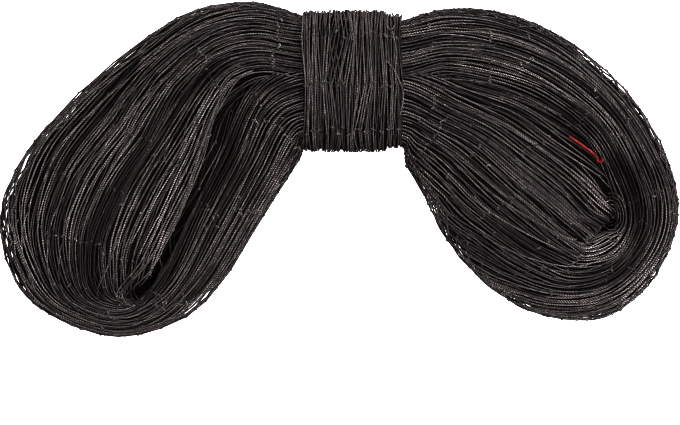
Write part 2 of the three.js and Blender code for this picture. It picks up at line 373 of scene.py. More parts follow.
# Press points in under the wrap: beside it they may stand out past the waist's section by a room that
# grows with the distance from the wrap's edge, and the excess is taken off with a soft corner
def pinchAtWaist(points, depth):
    outside = besideWrap(points)
    y = points[..., 1] - waist["centreY"]
    z = points[..., 2] - waist["centreZ"]
    power = waist["squareness"]
    size = (np.abs(y / waist["halfY"]) ** power + np.abs(z / waist["halfZ"]) ** power) ** (1 / power)
    far = np.maximum(np.hypot(y, z), 1e-6)
    proud = far * (1 - 1 / np.maximum(size, 1e-6))
    flare = np.where(outside > 0, waist["flare"], waist["tuck"])
    room = np.maximum(waist["edgeRoom"] + flare * outside, waist["leastRoom"]) - depth
    excess = proud - room
    soft = 0.5 * (excess + np.sqrt(excess**2 + waist["softCorner"] ** 2))
    keep = 1 - soft / far
    pinched = points.copy()
    pinched[..., 1] = waist["centreY"] + y * keep
    pinched[..., 2] = waist["centreZ"] + z * keep
    return pinched


# Points no lower than some height over the floor
def liftedTo(points, height):
    points[..., 2] = np.maximum(points[..., 2], height)
    return points


# How near points lie to some lines, seen from above: a bell across each line, as high as its strength
def nearLines(lines, points):
    near = np.zeros(points.shape[:-1])
    for halfWidth, strength, *corners in lines:
        corners = np.reshape(corners, (-1, 2)) * mm
        for start, end in zip(corners[:-1], corners[1:]):
            run = end - start
            share = np.clip((points[..., :2] - start) @ run / (run @ run), 0, 1)
            away = np.linalg.norm(points[..., :2] - start - share[..., None] * run, axis=-1)
            near = np.maximum(near, strength * bell(away, halfWidth * mm))
    return near


# Knots at every other row of each path, but none near its ends: their paths, their shares of the length,
# and points and directions there
def tiedKnots(paths, ties, tiePlace, least):
    tied = (np.arange(len(paths))[:, None] + ties) % 2 == 0
    strand, tie = np.nonzero(tied & (tiePlace > least) & (tiePlace < 1 - least))
    share = tiePlace[strand, tie]
    step = share * (paths.shape[1] - 1)
    low = np.minimum(step.astype(int), paths.shape[1] - 2)
    part = (step - low)[:, None]
    ahead = paths[strand, low + 1]
    behind = paths[strand, low]
    return strand, share, (1 - part) * behind + part * ahead, ahead - behind


def unit(vectors):
    return vectors / np.maximum(np.linalg.norm(vectors, axis=-1, keepdims=True), 1e-12)


# A mesh from arrays: quads and end caps, a map of turns of lay and places round, and a tone for each point,
# which also carries painted light and shade
def meshPiece(name, points, quads, quadMap, caps, tonesAndPaintedLight):
    mesh = bpy.data.meshes.new(name)
    corners = np.concatenate([quads.ravel(), caps.ravel()]).astype(np.int32)
    starts = np.concatenate([np.arange(len(quads)) * 4, quads.size + np.arange(len(caps)) * caps.shape[1]])
    mesh.vertices.add(len(points))
    mesh.vertices.foreach_set("co", points.astype(np.float32).ravel())
    mesh.loops.add(len(corners))
    mesh.loops.foreach_set("vertex_index", corners)
    mesh.polygons.add(len(starts))
    mesh.polygons.foreach_set("loop_start", starts.astype(np.int32))
    layMap = mesh.uv_layers.new(name="layMap")
    places = np.concatenate([quadMap.reshape(-1, 2), np.zeros((caps.size, 2))])
    layMap.data.foreach_set("uv", places.astype(np.float32).ravel())
    tone = mesh.attributes.new("twineToneAndPaintedLight", "FLOAT", "POINT")
    tone.data.foreach_set("value", tonesAndPaintedLight.astype(np.float32).ravel())
    mesh.update(calc_edges=True)
    mesh.shade_smooth()
    piece = bpy.data.objects.new(name, mesh)
    bpy.context.scene.collection.objects.link(piece)
    return piece


# Faces between rings of points and their places on the map: index holds the rings, places says where each
# ring is, and order says how a face goes round
def ringFaces(index, places, order):
    ahead = np.roll(index, -1, axis=-1)
    quads = [index[..., :-1, :], ahead[..., :-1, :], ahead[..., 1:, :], index[..., 1:, :]]
    low = np.arange(index.shape[-1]) / index.shape[-1]
    high = low + 1 / index.shape[-1]
    here = places[..., :-1, None]
    there = places[..., 1:, None]
    corners = np.broadcast_arrays(here, low, here, high, there, high, there, low)
    corners = np.stack(corners, axis=-1).reshape(-1, 4, 2)
    return np.stack(quads, axis=-1).reshape(-1, 4)[:, order], corners[:, order]


# Ways round a face: along its ring first, the same turned over, and along the length first
ringFirst = [0, 1, 2, 3]
ringLast = [3, 2, 1, 0]
lengthFirst = [0, 3, 2, 1]


# Round profile carried along many paths at once: paths is strands x steps x 3, axis is what the profile
# turns about where the path is level
def twinePiece(name, paths, radius, sides, axis, tonesAndPaintedLight):
    count, steps, _ = paths.shape
    tangent = unit(np.gradient(paths, axis=1))
    side = unit(np.cross(tangent, np.asarray(axis, float)))
    up = np.cross(side, tangent)
    turn = np.arange(sides) * 2 * np.pi / sides
    ring = np.cos(turn)[:, None] * side[:, :, None, :] + np.sin(turn)[:, None] * up[:, :, None, :]
    points = paths[:, :, None, :] + np.broadcast_to(radius, (count, steps))[:, :, None, None] * ring
    index = np.arange(count * steps * sides).reshape(count, steps, sides)
    length = np.zeros((count, steps))
    length[:, 1:] = np.cumsum(np.linalg.norm(np.diff(paths, axis=1), axis=-1), axis=1)
    first = np.arange(count) * net["layShift"] % net["layWrap"]
    quads, quadMap = ringFaces(index, length / net["layPitch"] + first[:, None], lengthFirst)
    caps = np.concatenate([index[:, 0], index[:, -1, ::-1]])
    spread = np.repeat(np.broadcast_to(np.reshape(tonesAndPaintedLight, (count, -1)), (count, steps)).ravel(), sides)
    return meshPiece(name, points.reshape(-1, 3), quads, quadMap, caps, spread)


# Closed piece over a grid of points whose rows are rings: its ends are capped, or its last ring is joined
# to the first one where there is one place more than rings
def gridPiece(name, grid, places, order):
    index = np.arange(grid[..., 0].size).reshape(grid.shape[:2])
    tonesAndPaintedLight = np.full(index.size, 0.5)
    caps = np.stack([index[0][::-1], index[-1]])
    if order is ringLast:
        caps = caps[:, ::-1]
    if len(places) > len(grid):
        caps = caps[:0]
        index = np.vstack([index, index[:1]])
    quads, quadMap = ringFaces(index, places, order)
    return meshPiece(name, grid.reshape(-1, 3), quads, quadMap, caps, tonesAndPaintedLight)


# Knots: the turns of the hitch lie across the twine as a short spindle with two beads. It leans one way or
# the other and stands out a little from the strands. Up is away from the middle of the bundle.
knot = {
    "offsets": np.array([-1.8, -0.95, 0.0, 0.95, 1.8]) * mm,
    "radii": np.array([0.35, 1.0, 0.85, 1.0, 0.35]) * mm,
    "sides": 5,
    "axis": (0.13, 0.07, 0.99),  # a little off level, as knots lie every way
    "lean": 35,  # degrees from square across
    "leanSpread": 12,
    "size": (0.85, 0.3),
    "standOut": 0.45 * mm,
    "clear": 1.1 * mm,  # above the floor
    "tone": (0.35, 0.4),
}


def knotPiece(name, centres, directions, up, seed, scale, dim):
    rng = np.random.default_rng(seed)
    count = len(centres)
    tangent = unit(directions)
    across = unit(np.cross(up, tangent))
    lean = knot["lean"] * rng.choice((-1, 1), count) + knot["leanSpread"] * rng.normal(size=count)
    lean = np.radians(lean)[:, None]
    axis = np.cos(lean) * across + np.sin(lean) * tangent
    outward = np.cross(tangent, across)
    size = scale * chance(rng, knot["size"], count)[:, None]
    paths = (centres + scale**2 * knot["standOut"] * outward)[:, None, :]
    paths = liftedTo(paths + (size * knot["offsets"])[:, :, None] * axis[:, None, :], knot["clear"])
    # knots along the dim lines are painted darker as shade
    tonesAndPaintedLight = chance(rng, knot["tone"], count) * (1 - nearLines(dim, centres))
    return twinePiece(name, paths, size * knot["radii"], knot["sides"], knot["axis"], tonesAndPaintedLight)


# How far each strand stands aside between knots: a knot draws its two strands together by a pull, shifts
# both by chance and goes along with its pleat, and each strand runs straight from knot to knot
def betweenKnots(rng, rowPlace, pleats, pull, shift, pleatShift):
    count = len(rowPlace)
    row = np.floor(rowPlace).astype(int)
    index = np.arange(count)[:, None]
    first = row.min()
    size = (count, row.max() - first + 2)
    shifts = shift * rng.normal(size=size)
    shifts = shifts + pleatShift * rng.normal(size=size)[pleats]

    def atKnot(knotRow):
        odd = (index + knotRow) % 2
        return 0.5 * pull * (1 - 2 * odd) + shifts[(index - odd) % count, knotRow - first]

    part = rowPlace - row
    return (1 - part) * atKnot(row) + part * atKnot(row + 1)


# A chance value for every bar of each strand, from knot to knot
def eachBar(rng, rowPlace):
    row = np.floor(rowPlace).astype(int)
    row = row - row.min()
    values = rng.normal(size=(len(rowPlace), row.max() + 1))
    return np.take_along_axis(values, row, axis=1)


# How far the bundle draws back from its rim where the net opens out
def drawnBack(loop, along, fromRim):
    opened = sum(tuck * bell(along - at, half) for at, half, _, tuck in loop["openRim"])
    return opened * mm * bell(fromRim, net["openReach"])


# How strands lie in a bundle: rates are waves along it, and a pair is a mean and how far waves move it
lay = {
    "lockRates": (1.3, 2.4, 3.9),
    "strayRates": (5, 9, 14),
    "liftRates": (6, 11, 17),
    "toneRates": (1.7, 3.1, 5.3),
    "phaseSpread": 0.03,  # in rows of knots
    "drawn": (0.6, 0.6),
    "rounded": (0.8, 0.5),
    "edgePower": 2.6,  # how late a lock rounds over towards its edges
    "sinkOrder": np.array([0, 4, 2, 6, 1, 5, 3, 7]),  # who sinks first, spread evenly
    "sinkChance": (0.2, 0.6),
    "sinkSoft": 0.1,
    "plainRim": 30,  # degrees from the rim where locks don't round over
    "tuckedRim": 26,  # degrees from the rim where strands are tucked in
    "knotsFrom": 0.02,  # share of the loop without knots at its ends
    "knotsBeside": 2 * mm,  # and how far from the wrap
    "tone": 0.36,  # and how much a lock, a strand and a bar differ from it: a strand by its own tone, a lock and a bar as painted sheen
    "lockSheen": 0.3,
    "strandTone": 0.08,
    "barSheen": 0.22,
    "toneRange": (0.12, 0.75),
    "grooveDim": (0.35, 0.07, 0.2),  # painted shade in troughs: amount, and depths from and to which it comes in
    # painted shade on strands that have sunk
    "sunkDim": 0.6,
    "mostTone": 1.4,
}


# Strands of one layer of a bundle. Rows of knots pull a strand to one neighbour and then to the other. Its
# lock sways and lifts on slow waves, draws its strands together and rounds over at its edges, so dark gaps
# open between locks. Where a bundle is narrow, some strands sink and leave the others their room.
def layStrands(loop, layer):
    rng = np.random.default_rng(loop["seed"] + layer["seed"])
    count = layer["strands"]
    along = np.linspace(0, 1, layer["steps"])
    index = np.arange(count)[:, None]
    home = index[:, 0] * 360 / count
    parts, at = np.transpose(loop["partings"])
    roll = throughRows(loop["sections"], at)[:, 5]
    shift = np.degrees(evenShift(flatness(loop, at), np.radians(parts + roll)))
    parts = parts + shift + layer["partingShift"]
    edges = np.concatenate([[parts[-1] - 360], parts, [parts[0] + 360]])
    lock = np.searchsorted(edges, home, side="right") - 1
    inLock = (2 * (home - edges[lock]) / (edges[lock + 1] - edges[lock]) - 1)[:, None]
    lock = lock % len(parts)
    lockWaves = [waves(rng, len(parts), along, lay["lockRates"], 1)[lock] for _ in range(4)]
    pleats = np.cumsum(rng.random(count) < 1 / layer["pleat"])
    phase = rng.random(pleats.max() + 1)[pleats] + lay["phaseSpread"] * rng.normal(size=count)
    rowPlace = along[None, :] * loop["length"] / net["meshBar"] + phase[:, None]
    zigzag = betweenKnots(rng, rowPlace, pleats, layer["pull"], layer["knotShift"], layer["pleatShift"])
    rise = betweenKnots(rng, rowPlace, pleats, 0, layer["knotLift"], 0.5 * layer["knotLift"])
    alone = layer["stray"] * waves(rng, count, along, lay["strayRates"], 1)
    mean, more = lay["drawn"]
    drawn = layer["squeeze"] * inLock * (mean + more * lockWaves[1])
    halfWidth, halfHeight = sectionHalves(loop, along)
    room = 2 * np.pi * np.sqrt(0.5 * (halfWidth**2 + halfHeight**2)) / count / net["strandRoom"]
    order = lay["sinkOrder"]
    rank = (order[index % len(order)] + chance(rng, lay["sinkChance"], (count, 1))) / len(order)
    sunk = smoothStep(room - lay["sinkSoft"], room + lay["sinkSoft"], rank)
    width = 1 - (1 - net["sunkWidth"]) * sunk
    place = (np.cumsum(width, axis=0) - 0.5 * width) / width.sum(axis=0) * count
    even = (place + zigzag + alone + layer["sway"] * lockWaves[0] - drawn) * 360 / count
    roll = throughRows(loop["sections"], along)[:, 5]
    around = evenAngle(loop, along, even + roll)
    radius = 0.5 * (halfWidth + halfHeight)
    fromRim = (around + 180) % 360 - 180
    mean, more = lay["rounded"]
    rounding = np.abs(inLock) ** lay["edgePower"] * (mean + more * lockWaves[2])
    rounding = layer["rounding"] / radius * rounding * (1 - bell(fromRim, lay["plainRim"]))
    reach = 1 + (layer["lockLift"] * lockWaves[3] - layer["under"]) / radius - rounding
    reach = reach + layer["lift"] * waves(rng, count, along, lay["liftRates"], 1) + rise / radius
    reach = reach - net["sink"] * sunk / radius
    reach = reach - layer["rimTuck"] / halfWidth * bell(fromRim, lay["tuckedRim"])
    reach = reach - drawnBack(loop, along, fromRim) / halfWidth
    paths = pinchAtWaist(onBundle(loop, along[None, :], around, reach), layer["depth"])
    paths = liftedTo(paths, twineRadius)
    # Tone with painted light and shade: each lock and each bar is painted lighter or darker as sheen, strands
    # in troughs, along the dim lines and sunk ones are painted darker as shade, and the shine lines are
    # painted highlights
    tonesAndPaintedLight = lay["tone"] + lay["lockSheen"] * waves(rng, len(parts), along, lay["toneRates"], 1)[lock]
    tonesAndPaintedLight = tonesAndPaintedLight + lay["strandTone"] * rng.normal(size=(count, 1))
    tonesAndPaintedLight = tonesAndPaintedLight + lay["barSheen"] * eachBar(rng, rowPlace)
    groove = graded(lay["grooveDim"], 1 - lockShare(loop, along, around, roll))
    tonesAndPaintedLight = np.clip(tonesAndPaintedLight, *lay["toneRange"]) * (1 - groove)
    tonesAndPaintedLight = tonesAndPaintedLight * (1 - nearLines(loop["dim"], paths)) + nearLines(loop["shine"], paths)
    tonesAndPaintedLight = np.clip(tonesAndPaintedLight * (1 - lay["sunkDim"] * sunk), 0, lay["mostTone"])
    return paths, bundleKnots(loop, paths, phase, sunk), tonesAndPaintedLight


# Knots of a bundle's strands: none on strands that have sunk or near the wrap
def bundleKnots(loop, paths, phase, sunk):
    rows = loop["length"] / net["meshBar"]
    ties = np.arange(int(rows) + 2)[None, :]
    tiePlace = (ties - phase[:, None]) / rows
    strand, share, centres, directions = tiedKnots(paths, ties, tiePlace, lay["knotsFrom"])
    middle = onBundle(loop, share, np.zeros(len(share)), np.zeros(len(share)))
    step = np.rint(share * (paths.shape[1] - 1)).astype(int)
    clear = (besideWrap(centres) > lay["knotsBeside"]) & (sunk[strand, step] < 0.5)
    return centres[clear], directions[clear], (centres - middle)[clear]


# The outer and the inner strands of each bundle
layers = {
    "seed": (1, 2),
    "strands": (124, 110),
    "steps": (136, 84),
    "partingShift": (0, 13),
    "pleat": (10, 8),  # strands in a pleat, whose knots stand in one row
    "pull": (0.4, 0.6),
    "knotShift": (0.24, 0.25),  # in strand pitches
    "pleatShift": (0.6, 0.5),
    "knotLift": (0.5 * mm, 0.2 * mm),
    "sway": (0.8, 1),  # in strand pitches
    "squeeze": (0.3, 0.6),
    "stray": (0.12, 0.5),
    "under": (0.4 * mm, 2.2 * mm),  # below the surface of the bundle
    "lockLift": (0.75 * mm, 0.35 * mm),
    "rounding": (1.4 * mm, 1.5 * mm),
    "lift": (0.007, 0.012),
    "rimTuck": (0.2 * mm, 0.5 * mm),
    "depth": (0, 1.6 * mm),
}
outerLayer = {key: pair[0] for key, pair in layers.items()}
innerLayer = {key: pair[1] for key, pair in layers.items()}

for loop in (leftLoop, rightLoop):
    rows = throughRows(loop["sections"], np.linspace(0, 1, 200))
    middle = 0.5 * (rows[:, 0:2] + rows[:, 2:4]) * mm
    loop["length"] = float(np.linalg.norm(np.diff(middle, axis=0), axis=1).sum())
    print(loop["name"], "loop is", round(loop["length"], 3), "m long")


# Materials. An input given as another node's socket is linked, any other is set.
def setInputs(tree, node, values):
    for key, value in values.items():
        if isinstance(value, bpy.types.NodeSocket):
            tree.links.new(value, node.inputs[key])
        else:
            node.inputs[key].default_value = value


def addNode(tree, kind, values, **settings):
    node = tree.nodes.new("ShaderNode" + kind)
    for key, setting in settings.items():
        setattr(node, key, setting)
    setInputs(tree, node, values)
    return node


def addMath(tree, operation, *values):
    return addNode(tree, "Math", dict(enumerate(values)), operation=operation).outputs[0]


def addProduct(tree, first, *others):
    for other in others:
        first = addMath(tree, "MULTIPLY", first, other)
    return first


def addRange(tree, value, fromSpan, toSpan, clamp=True):
    names = ("Value", "From Min", "From Max", "To Min", "To Max")
    values = dict(zip(names, (value, *fromSpan, *toSpan)))
    return addNode(tree, "MapRange", values, clamp=clamp).outputs["Result"]


def addMix(tree, factor, low, high, **settings):
    return addNode(tree, "Mix", {"Factor": factor, "A": low, "B": high}, **settings).outputs["Result"]


def addNoise(tree, vector, scale, detail):
    return addNode(tree, "TexNoise", {"Vector": vector, "Scale": scale, "Detail": detail}).outputs["Fac"]


def addBump(tree, strength, distance, height):
    values = {"Strength": strength, "Distance": distance, "Height": height}
    return addNode(tree, "Bump", values).outputs["Normal"]


def newMaterial(name):
    material = bpy.data.materials.new(name)
    material.use_nodes = True
    return material, material.node_tree, material.node_tree.nodes["Principled BSDF"]


twinePlies = 2
plyDepth = 0.35 * mm


# Node group: plies of a twisted twine from the lay map as a height, which is 1 - (2 part - 1)^2 over the part
# of a ply, fine fibres, longer stretches that catch more or less light as painted glints, and the twine's
# upper side, for painted light on top of each strand and painted shade on its sides
def makeTwistedLay():
    group = bpy.data.node_groups.new("twistedLay", "ShaderNodeTree")
    layMap = addNode(group, "UVMap", {}, uv_map="layMap").outputs["UV"]
    split = addNode(group, "SeparateXYZ", {0: layMap}).outputs
    turned = addMath(group, "ADD", split["X"], split["Y"])
    part = addMath(group, "FRACT", addProduct(group, turned, twinePlies))
    centred = addMath(group, "MULTIPLY_ADD", part, 2, -1)
    rise = addMath(group, "SINE", addProduct(group, split["Y"], 2 * math.pi))
    results = {
        "Height": addMath(group, "SUBTRACT", 1, addProduct(group, centred, centred)),
        "Fibre": addNoise(group, layMap, 9, 2),
        "Glint": addRange(group, addNoise(group, layMap, 1.1, 2), (0.3, 0.7), (0, 1)),
        "PaintedTopLight": addRange(group, rise, (-0.2, 0.95), (0, 1)),
    }
    for name in results:
        group.interface.new_socket(name, in_out="OUTPUT", socket_type="NodeSocketFloat")
    setInputs(group, group.nodes.new("NodeGroupOutput"), results)
    return group


twistedLay = makeTwistedLay()


# Twisted twine: the plies' grooves are painted darker as shade and their crowns lighter as painted
# highlights, strand by strand. The colour is also scaled by the tone with its painted light and shade, by
# stretches painted lighter or darker as glints, and by the upper side painted lighter and the sides darker.
# The gloss is the twine's tone times the ply's crown times the stretch's glint. The plies of dull twine show
# less.
def makeTwine(name, groove, crown, roughLow, roughHigh, specular, coat):
    material, tree, shader = newMaterial(name)
    twist = addNode(tree, "Group", {}, node_tree=twistedLay).outputs
    tone = addNode(tree, "Attribute", {}, attribute_name="twineToneAndPaintedLight").outputs["Fac"]
    bent = addMath(tree, "POWER", tone, 1.4)
    ply = addRange(tree, twist["Height"], (0.5, 1), (0, 1))
    clearness = addRange(tree, bent, (0.1, 0.7), (0.25, 1))
    plies = addMix(tree, clearness, 0.5, ply)
    # painted shade in the ply grooves, painted highlights on the crowns
    colour = addMix(tree, plies, (*groove, 1), (*crown, 1), data_type="RGBA")
    shade = addRange(tree, bent, (0, 1), (0.06, 2.6), clamp=False)
    stretch = addRange(tree, twist["Glint"], (0, 1), (0.25, 1.6))
    # painted light on each strand's upper side, painted shade on its sides
    sides = addRange(tree, twist["PaintedTopLight"], (0, 1), (0.25, 1.45))
    lit = addProduct(tree, shade, stretch, sides)
    rough = addRange(tree, tone, (0, 1), (roughHigh, roughLow))
    gloss = addRange(tree, bent, (0, 1), (0, coat))
    looks = {
        "Base Color": addMix(tree, 1, colour, lit, data_type="RGBA", blend_type="MULTIPLY"),
        "Roughness": addMath(tree, "MULTIPLY_ADD", twist["Fibre"], 0.14, rough),
        "Normal": addBump(tree, clearness, plyDepth, twist["Height"]),
        "Specular IOR Level": specular,
        "Coat Weight": addProduct(tree, gloss, ply, stretch),
        "Coat Normal": addBump(tree, 0.4, plyDepth, twist["Height"]),
        "Coat Roughness": 0.22,
        "Coat IOR": 2.3,
    }
    setInputs(tree, shader, looks)
    return material


# Packed net inside the bundles: near black as painted deep shade between the strands, with long streaks where
# strands lie
def makePackedShade(name):
    material, tree, shader = newMaterial(name)
    layMap = addNode(tree, "UVMap", {}, uv_map="layMap").outputs["UV"]
    stretch = addNode(tree, "Mapping", {"Scale": (14, 180, 1), "Vector": layMap}).outputs["Vector"]
    streaks = addNoise(tree, stretch, 1, 3)
    groove, crown = (0.0003, 0.0002, 0.0002, 1), (0.002, 0.0016, 0.0016, 1)
    looks = {
        "Base Color": addMix(tree, streaks, groove, crown, data_type="RGBA"),
        "Normal": addBump(tree, 1, 1.2 * mm, streaks),
        "Roughness": 0.8,
        "Specular IOR Level": 0.02,
    }
    setInputs(tree, shader, looks)
    return material


blackTwine = makeTwine("blackTwine", (0.001, 0.0007, 0.0007), (0.04, 0.033, 0.0335), 0.4, 0.6, 0.1, 1.3)
# A darker, duller copy of the black twine for the inner strands: painted shade for how deep they lie
shadedTwine = makeTwine("shadedTwine", (0.001, 0.0008, 0.0008), (0.019, 0.016, 0.0162), 0.5, 0.6, 0.06, 0.15)
redTwine = makeTwine("redTwine", (0.06, 0.003, 0.003), (0.29, 0.016, 0.015), 0.5, 0.65, 0.12, 0)
packedNetShade = makePackedShade("packedNetShade")
print("materials made")


def finishPiece(piece, material):
    piece.data.materials.append(material)
    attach(piece, "root")
    print(piece.name, "has", len(piece.data.polygons), "faces")
    return piece


def netTwine(name, paths, sides, axis, tonesAndPaintedLight, material):
    return finishPiece(twinePiece(name, paths, twineRadius, sides, axis, tonesAndPaintedLight), material)


# Packed core of a loop: the bundle's surface drawn in under the strands, closed at both ends
packed = {
    "steps": 120,
    "sides": 72,
    "under": 3.8 * mm,  # the surface of the bundle
    "depth": 3.2 * mm,  # under the wrap
    "fuller": 2.5 * mm,  # towards the eye, so no slit is left
    "eyeReach": 40,  # degrees over which that is so
}


def coreOfLoop(loop):
    steps, sides = packed["steps"], packed["sides"]
    along = np.linspace(0, 1, steps)
    around = np.broadcast_to(np.arange(sides) * 360 / sides, (steps, sides))
    radius = 0.5 * sum(sectionHalves(loop, along))[:, None]
    fuller = packed["fuller"] * bell(around - 180, packed["eyeReach"])
    back = drawnBack(loop, along[:, None], (around + 180) % 360 - 180)
    inward = 1 + (fuller - packed["under"] - back) / radius
    grid = pinchAtWaist(onBundle(loop, along[:, None], around, inward), packed["depth"])
    order = ringLast if loop is leftLoop else ringFirst
    return gridPiece(loop["name"] + "Core", liftedTo(grid, net["coreClear"]), along, order)


# Net along the rim: knots stand out from the bundle by their own amounts and the twine runs straight from
# knot to knot, so the outline has corners and open meshes
edge = {
    "strands": 7,
    "pitch": 9,  # degrees round the bundle
    "start": 0.035,  # along the loop
    "span": 0.93,
    "ends": (0.03, 0.97),
    "jitter": 0.2,  # of a knot's place, in rows
    "turnJitter": 1.5,  # in degrees
    "dive": (5 * mm, 0.42, 0.46),  # how far its ends go in, at shares of the loop from its middle
    "inside": 0.8,  # reach of the point that a knot stands out from
    "standOut": 0.4 * mm,
    "steps": 4,  # along one mesh bar
    "slack": 0.9 * mm,
    "leastHeight": 2 * mm,  # of a knot
    "tone": (0.2, 0.3),
    "seed": 71,
}


def rimNet(loop):
    rng = np.random.default_rng(edge["seed"] + loop["seed"])
    count, sub = edge["strands"], edge["steps"]
    rows = int(loop["length"] * edge["span"] / loop["rimBar"])
    size = (count + 1, rows + 1)
    row = np.arange(rows + 1)[None, :]
    index = np.arange(count)[:, None]
    column = 1 + np.where((index + row) % 2 == 0, index, index - 1)
    share = row + edge["jitter"] * rng.normal(size=size)
    share = np.clip(edge["start"] + edge["span"] * share / rows, *edge["ends"])
    degrees = (np.arange(count + 1)[:, None] - count / 2) * edge["pitch"]
    degrees = degrees + edge["turnJitter"] * rng.normal(size=size)
    knots = onBundle(loop, share, degrees, np.ones(size))
    inside = onBundle(loop, share, degrees, np.full(size, edge["inside"]))
    most = np.full(size, edge["standOut"])
    for at, half, out, _ in loop["openRim"]:
        most = most + (out * mm - edge["standOut"]) * bell(share - at, half)
    away = most * rng.random(size) - graded(edge["dive"], np.abs(share - 0.5))
    knots = pinchAtWaist(knots + unit(knots - inside) * away[..., None], 0)
    corners = knots[column, np.broadcast_to(row, column.shape)]
    part = np.tile(np.arange(sub) / sub, rows)
    at = np.repeat(np.arange(rows), sub)
    paths = corners[:, at] + part[None, :, None] * (corners[:, at + 1] - corners[:, at])
    slack = np.repeat(rng.normal(size=(count, rows)), sub, axis=1)
    paths[..., 2] += edge["slack"] * slack * np.sin(np.pi * part)
    paths = liftedTo(np.concatenate([paths, corners[:, -1:]], axis=1), twineRadius)
    tied = (np.arange(count + 1)[:, None] + row) % 2 == 1
    tied[0] = tied[-1] = False
    column, row = np.nonzero(tied & (knots[..., 2] > edge["leastHeight"]))
    nextRow = np.minimum(row + 1, rows)
    directions = knots[column, nextRow] - knots[column, nextRow - 1]
    centres = knots[column, row]
    return paths, (centres, directions, centres - inside[column, row]), chance(rng, edge["tone"], count)


# Loose strands over the bundle: each drifts across its neighbours, straight from knot to knot
loose = {
    "strands": 34,
    "steps": 40,
    "start": (0.07, 0.6),  # along the loop
    "span": (0.08, 0.2),
    "home": (20, 140),  # degrees round the bundle
    "reach": (0.985, 0.027),
    "endReach": 0.93,
    "drift": 9,  # degrees across from end to end, at most
    "kink": 1.6,  # degrees at each knot
    "tone": (0.3, 0.4),
    "shine": 0.5,
    "seed": 91,
}


def looseStrands(loop):
    rng = np.random.default_rng(loose["seed"] + loop["seed"])
    size = (loose["strands"], 1)
    share = np.linspace(0, 1, loose["steps"])[None, :]
    start = chance(rng, loose["start"], size)
    along = start + chance(rng, loose["span"], size) * share
    home = chance(rng, loose["home"], size)
    drift = loose["drift"] * (2 * rng.random(size) - 1)
    rowPlace = along * loop["length"] / net["meshBar"] + rng.random(size)
    aside = betweenKnots(rng, rowPlace, np.arange(len(start)), 0, loose["kink"], 0)
    around = home + drift * (share - 0.5) + aside
    roll = throughRows(loop["sections"], along)[..., 5]
    over = np.sin(np.pi * share) ** 0.5
    low = loose["endReach"]
    reach = low + (chance(rng, loose["reach"], size) - low) * over
    paths = pinchAtWaist(onBundle(loop, along, around + roll * (roll < 0), reach), 0)
    paths = liftedTo(paths, twineRadius)
    # painted highlights along the shine lines and painted shade along the dim lines
    tonesAndPaintedLight = chance(rng, loose["tone"], size) + loose["shine"] * nearLines(loop["shine"], paths)
    return paths, tonesAndPaintedLight * (1 - nearLines(loop["dim"], paths))


# Fold of net that fills the eye of a loop: a dome, its radius in and out in pleats round it. Its edge is
# radius cos(up)^power wide at a height of sin(up) of the whole.
dome = {"steps": 14, "sides": 48, "pleats": 12, "pleatDepth": 0.06, "power": 0.6, "tip": 0.3 * mm}


def eyeFold(loop):
    x, y, radius, height = np.array(loop["fold"]) * mm
    up = np.linspace(0, 0.5 * np.pi, dome["steps"])[:, None]
    turn = np.arange(dome["sides"]) * 2 * np.pi / dome["sides"]
    ring = np.stack([np.cos(turn), np.sin(turn), 0 * turn], axis=-1)
    pleated = radius * (1 + dome["pleatDepth"] * np.cos(dome["pleats"] * turn)) * np.cos(up) ** dome["power"]
    grid = np.array([x, y, 0]) + pleated[..., None] * ring
    grid[..., 2] = net["coreClear"] + (height - net["coreClear"]) * np.sin(up)
    grid[-1] = grid[-1].mean(axis=0) + dome["tip"] * ring
    return gridPiece(loop["name"] + "Fold", grid, np.arange(dome["steps"]) / dome["steps"], ringFirst)


# Strands that turn round the eye: oval arcs laid over the bundle, whose ends go down into the net
arcs = {
    "steps": 40,
    "arc": (200, 60),  # degrees
    "startSpread": 10,
    "oval": (0.8, 1.2),
    "sway": 0.06,  # share of the radius
    "swayRates": (1, 2),
    "swayDrift": 0.1,
    "over": 0.4 * mm,
    "endDrop": 4 * mm,
    "endPower": 5,  # how late the ends go down
    "tone": (0.3, 0.4),
    "seed": 131,
}


def eyeStrands(loop):
    rng = np.random.default_rng(arcs["seed"] + loop["seed"])
    x, y, low, high, count = loop["eyeArcs"]
    share = np.linspace(0, 1, arcs["steps"])
    sway = 1 + arcs["sway"] * waves(rng, count, share, arcs["swayRates"], arcs["swayDrift"])
    away = np.linspace(low, high, count)[:, None] * mm * sway
    span = np.radians(chance(rng, arcs["arc"], (count, 1)))
    start = np.radians(loop["eyeFrom"] + arcs["startSpread"] * rng.normal(size=(count, 1)))
    turn = start + loop["eyeTurn"] * span * share
    wide, long = arcs["oval"]
    flat = np.stack([x * mm + wide * away * np.cos(turn), y * mm + long * away * np.sin(turn)], axis=-1)
    z = topOf(loop, flat.reshape(-1, 2)).reshape(turn.shape)
    z = z + arcs["over"] - arcs["endDrop"] * np.abs(2 * share - 1) ** arcs["endPower"]
    paths = np.concatenate([flat, z[..., None]], axis=-1)
    # painted highlights along the shine lines and painted shade along the dim lines
    tonesAndPaintedLight = chance(rng, arcs["tone"], (count, 1)) + nearLines(loop["shine"], paths)
    return paths, tonesAndPaintedLight * (1 - nearLines(loop["dim"], paths))


